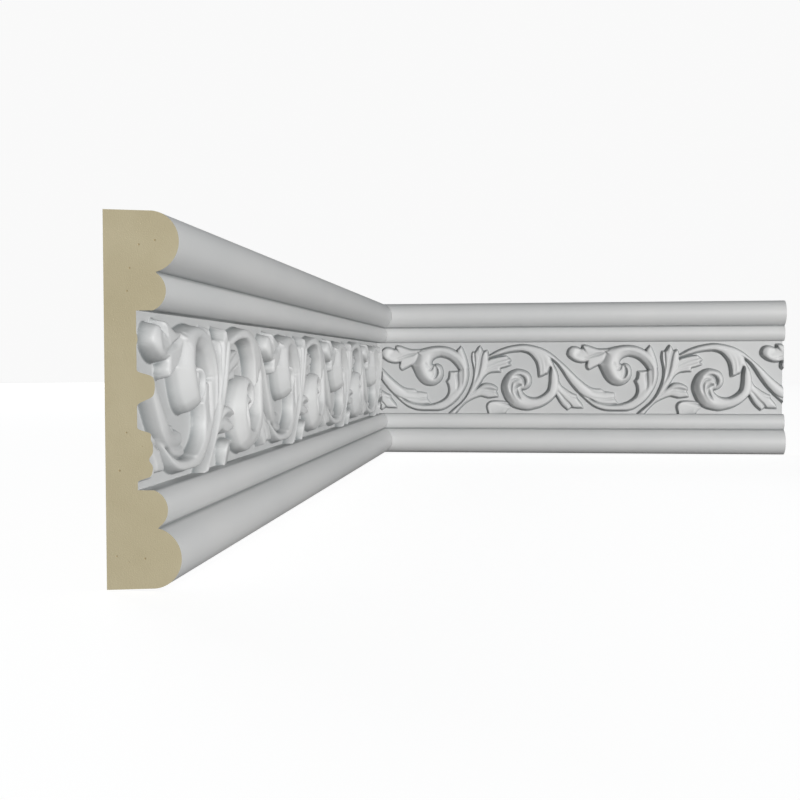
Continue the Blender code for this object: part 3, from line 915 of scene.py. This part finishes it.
# The floor, just under the rail.
def addFloor(level):
    reach = paper["reach"]
    mesh = bpy.data.meshes.new("floor")
    mesh.from_pydata([(-reach, -reach, level), (reach, -reach, level), (reach, reach, level),
                      (-reach, reach, level)], [], [(0, 1, 2, 3)])
    mesh.materials.append(stagePaper())
    floor = bpy.data.objects.new("floor", mesh)
    bpy.context.scene.collection.objects.link(floor)


# What a user would change of the soft lights, in metres and watts. The key casts no shadows, so
# that the walls of the carving stay crisp.
softLights = {
    "key": {
        "place": (2.8, -4.1, 0.55),
        "aim": (0.0, -0.2, 0.0),
        "size": 1.3,
        "power": 262.0,
        "colour": (1.0, 0.985, 0.975),
        "shadows": False,
    },
    "behind": {
        "place": (-3.8, 4.4, 2.2),
        "aim": (0.0, -0.4, 0.0),
        "size": 3.0,
        "power": 150.0,
        "colour": (1.0, 1.0, 1.0),
        "shadows": True,
    },
}

# What a user would change of the surroundings: how bright they look to the camera, and how bright
# and in what tint they light the rail.
surround = {"seen": 0.95, "given": 0.078, "tint": (0.78, 0.93, 1.0, 1.0)}


def addLights():
    for name, light in softLights.items():
        lamp = bpy.data.lights.new(name, "AREA")
        lamp.size = light["size"]
        lamp.energy = light["power"]
        lamp.color = light["colour"]
        lamp.use_shadow = light["shadows"]
        thing = bpy.data.objects.new(name, lamp)
        thing.location = light["place"]
        ahead = Vector(light["aim"]) - Vector(light["place"])
        thing.rotation_euler = ahead.to_track_quat("-Z", "Y").to_euler()
        bpy.context.scene.collection.objects.link(thing)


def addSurroundings():
    world = bpy.data.worlds.new("studio")
    world.use_nodes = True
    tree = world.node_tree
    background = tree.nodes["Background"]
    rays = addNode(tree, "ShaderNodeLightPath", (-500, 0))
    tint = addNode(tree, "ShaderNodeMix", (-250, 200), data_type="RGBA")
    tint.inputs[mixFrom].default_value = surround["tint"]
    tint.inputs[mixTo].default_value = (1.0, 1.0, 1.0, 1.0)
    strength = addNode(tree, "ShaderNodeMapRange", (-250, 0))
    strength.inputs["To Min"].default_value = surround["given"]
    strength.inputs["To Max"].default_value = surround["seen"]
    tree.links.new(rays.outputs["Is Camera Ray"], strength.inputs["Value"])
    tree.links.new(rays.outputs["Is Camera Ray"], tint.inputs[mixShare])
    tree.links.new(tint.outputs[mixResult], background.inputs["Color"])
    tree.links.new(strength.outputs["Result"], background.inputs["Strength"])
    bpy.context.scene.world = world
    bpy.context.scene.view_settings.view_transform = "Standard"


# What a user would change of the camera: where it stands in metres, its turn about the upright,
# its nod and its tilt in radians, and its lens and sensor in mm.
view = {
    "place": (-0.0514, -1.4801, 0.0186),
    "turn": -0.1174,
    "nod": -0.0326,
    "tilt": -0.0029,
    "lens": 49.343,
    "sensor": 36.0,
}


# The camera looks along (sin turn cos nod, cos turn cos nod, sin nod), tilted about that line.
def addCamera():
    turn, nod, tilt = view["turn"], view["nod"], view["tilt"]
    ahead = Vector((math.sin(turn) * math.cos(nod), math.cos(turn) * math.cos(nod), math.sin(nod)))
    right = Vector((math.cos(turn), -math.sin(turn), 0.0))
    up = right.cross(ahead)
    sideways = right * math.cos(tilt) + up * math.sin(tilt)
    upwards = up * math.cos(tilt) - right * math.sin(tilt)
    data = bpy.data.cameras.new("camera")
    data.lens = view["lens"]
    data.sensor_width = view["sensor"]
    camera = bpy.data.objects.new("camera", data)
    camera.matrix_world = (Matrix.Translation(view["place"])
                           @ Matrix((sideways, upwards, -ahead)).transposed().to_4x4())
    bpy.context.scene.collection.objects.link(camera)
    bpy.context.scene.camera = camera


addCamera()
table = carvedTable()
hollowShades = hollowShadeTable(table)
print("carving worked out, highest", round(float(table.max()), 2), "mm")

grain = grainGroup()
finishes = (primerCoat(grain), cutFoam(grain))
print("finishes made")

# The part's origin is the middle of the back wall length's back. The side wall's length is turned
# a quarter turn and runs back from its near end to the corner.
toOrigin = Matrix.Translation((-backLength["run"] / 2 * mm, 0.0, -section["height"] / 2 * mm))
onSideWall = (toOrigin @ Matrix.Translation((0.0, -sideLength["run"] * mm, 0.0))
              @ Matrix.Rotation(math.pi / 2, 4, "Z"))
toMetres = Matrix.Scale(mm, 4)
railLength(backLength, table, hollowShades, toOrigin @ toMetres, finishes)
railLength(sideLength, table, hollowShades, onSideWall @ toMetres, finishes)

addFloor(-section["height"] / 2 * mm)
addLights()
addSurroundings()
print("studio made")
